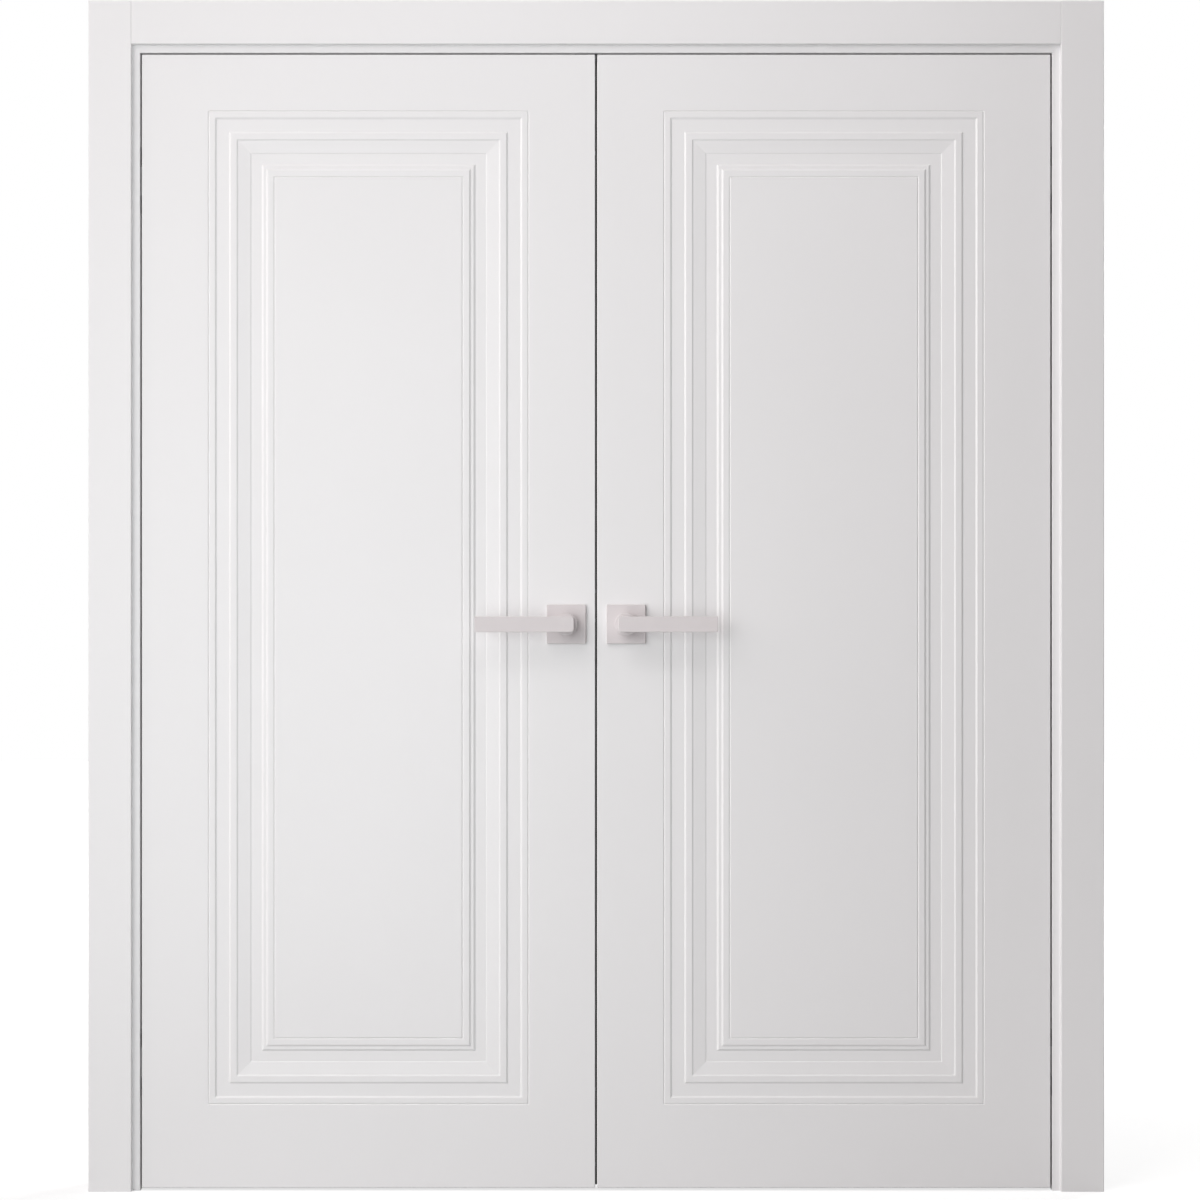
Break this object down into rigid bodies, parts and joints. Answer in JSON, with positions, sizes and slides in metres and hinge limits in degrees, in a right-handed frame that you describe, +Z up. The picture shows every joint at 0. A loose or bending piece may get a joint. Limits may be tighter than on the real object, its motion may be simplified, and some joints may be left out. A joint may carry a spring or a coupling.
{
  "type": "panelled double doors with frame",
  "caption": "Pair of white panelled doors in a rebated frame with flat casings, concealed hinges, lever handles, latch and flush bolts.",
  "frame": {"origin": "on the floor, midway between the leaves and midway through their thickness, which is the middle of the box of the whole part", "axes": "+Z up, +X to the right seen from the front, +Y from the front into the wall"},
  "size_m": [1.7894, 0.15, 2.098],
  "materials": {
    "door_enamel": "satin white enamel on fibreboard",
    "frame_enamel": "satin white enamel on fibreboard",
    "handle_coat": "matt pale grey powder coat",
    "hinge_metal": "satin plated zinc alloy",
    "pin_steel": "ground steel",
    "lock_steel": "satin nickel plated steel",
    "seal_rubber": "matt black rubber"
  },
  "bodies": {
    "frame": {"left_jamb": "frame_enamel", "right_jamb": "frame_enamel", "head_jamb": "frame_enamel", "left_jamb_seal": "seal_rubber", "right_jamb_seal": "seal_rubber", "head_jamb_seal": "seal_rubber", "front_left_casing": "frame_enamel", "front_right_casing": "frame_enamel", "front_head_casing": "frame_enamel", "back_left_casing": "frame_enamel", "back_right_casing": "frame_enamel", "back_head_casing": "frame_enamel", "head_bolt_keeper": "lock_steel", "jamb_hinge_pins": "pin_steel", "left_lower_jamb_hinge_cup": "hinge_metal", "left_upper_jamb_hinge_cup": "hinge_metal", "right_lower_jamb_hinge_cup": "hinge_metal", "right_upper_jamb_hinge_cup": "hinge_metal"},
    "left_door": {"left_leaf": "door_enamel", "left_leaf_hinge_pins": "pin_steel", "left_front_rose": "handle_coat", "left_back_rose": "handle_coat", "left_lower_leaf_hinge_cup": "hinge_metal", "left_upper_leaf_hinge_cup": "hinge_metal", "meeting_seal": "seal_rubber", "strike_plate": "lock_steel", "upper_flush_bolt_plate": "lock_steel", "lower_flush_bolt_plate": "lock_steel"},
    "right_door": {"right_leaf": "door_enamel", "right_leaf_hinge_pins": "pin_steel", "right_front_rose": "handle_coat", "right_back_rose": "handle_coat", "right_lower_leaf_hinge_cup": "hinge_metal", "right_upper_leaf_hinge_cup": "hinge_metal", "latch_housing": "lock_steel"},
    "left_handle": {"left_front_lever": "handle_coat", "left_back_lever": "handle_coat", "left_spindle": "lock_steel"},
    "right_handle": {"right_front_lever": "handle_coat", "right_back_lever": "handle_coat", "right_spindle": "lock_steel", "latch_follower": "lock_steel"},
    "latch": {"latch_bolt": "lock_steel"},
    "upper_bolt": {"upper_flush_bolt": "lock_steel"},
    "lower_bolt": {"lower_flush_bolt": "lock_steel"},
    "left_frame_arms": {"left_lower_jamb_hinge_arm": "hinge_metal", "left_upper_jamb_hinge_arm": "hinge_metal", "left_link_hinge_pins": "pin_steel"},
    "left_door_arms": {"left_lower_leaf_hinge_arm": "hinge_metal", "left_upper_leaf_hinge_arm": "hinge_metal"},
    "right_frame_arms": {"right_lower_jamb_hinge_arm": "hinge_metal", "right_upper_jamb_hinge_arm": "hinge_metal", "right_link_hinge_pins": "pin_steel"},
    "right_door_arms": {"right_lower_leaf_hinge_arm": "hinge_metal", "right_upper_leaf_hinge_arm": "hinge_metal"}
  },
  "joints": [
    {"name": "left_leaf_swing", "type": "hinge", "parent": "frame", "child": "left_door", "pos_m": [-0.80325, -0.02, 1.005], "axis": [0, 0, -1], "range_deg": [0, 105]},
    {"name": "right_leaf_swing", "type": "hinge", "parent": "frame", "child": "right_door", "pos_m": [0.80325, -0.02, 1.005], "axis": [0, 0, 1], "range_deg": [0, 105]},
    {"name": "left_lever_turn", "type": "hinge", "parent": "left_door", "child": "left_handle", "pos_m": [-0.05275, 0, 1], "axis": [0, -1, 0], "range_deg": [0, 45], "stiffness_Nm_per_rad": 1.6, "springref_deg": -45.84},
    {"name": "right_lever_turn", "type": "hinge", "parent": "right_door", "child": "right_handle", "pos_m": [0.05275, 0, 1], "axis": [0, 1, 0], "range_deg": [0, 45], "stiffness_Nm_per_rad": 1.6, "springref_deg": -45.84},
    {"name": "latch_slide", "type": "slide", "parent": "right_door", "child": "latch", "axis": [-1, 0, 0], "range_m": [0, 0.012], "stiffness_N_per_m": 150, "springref_m": -0.012},
    {"name": "upper_bolt_slide", "type": "slide", "parent": "left_door", "child": "upper_bolt", "axis": [0, 0, 1], "range_m": [0, 0.015]},
    {"name": "lower_bolt_slide", "type": "slide", "parent": "left_door", "child": "lower_bolt", "axis": [0, 0, -1], "range_m": [0, 0.015]},
    {"name": "left_frame_arm_turn", "type": "hinge", "parent": "frame", "child": "left_frame_arms", "pos_m": [-0.81065, -0.006, 1.005], "axis": [0, 0, -1], "range_deg": [0, 105]},
    {"name": "left_door_arm_turn", "type": "hinge", "parent": "left_door", "child": "left_door_arms", "pos_m": [-0.79585, -0.006, 1.005], "axis": [0, 0, 1], "range_deg": [0, 105]},
    {"name": "right_frame_arm_turn", "type": "hinge", "parent": "frame", "child": "right_frame_arms", "pos_m": [0.81065, -0.006, 1.005], "axis": [0, 0, 1], "range_deg": [0, 105]},
    {"name": "right_door_arm_turn", "type": "hinge", "parent": "right_door", "child": "right_door_arms", "pos_m": [0.79585, -0.006, 1.005], "axis": [0, 0, -1], "range_deg": [0, 105]}
  ],
  "couplings": [
    {"joint": "left_frame_arm_turn", "follows": "left_leaf_swing", "ratio": 1},
    {"joint": "left_door_arm_turn", "follows": "left_leaf_swing", "ratio": 1},
    {"joint": "right_frame_arm_turn", "follows": "right_leaf_swing", "ratio": 1},
    {"joint": "right_door_arm_turn", "follows": "right_leaf_swing", "ratio": 1}
  ]
}
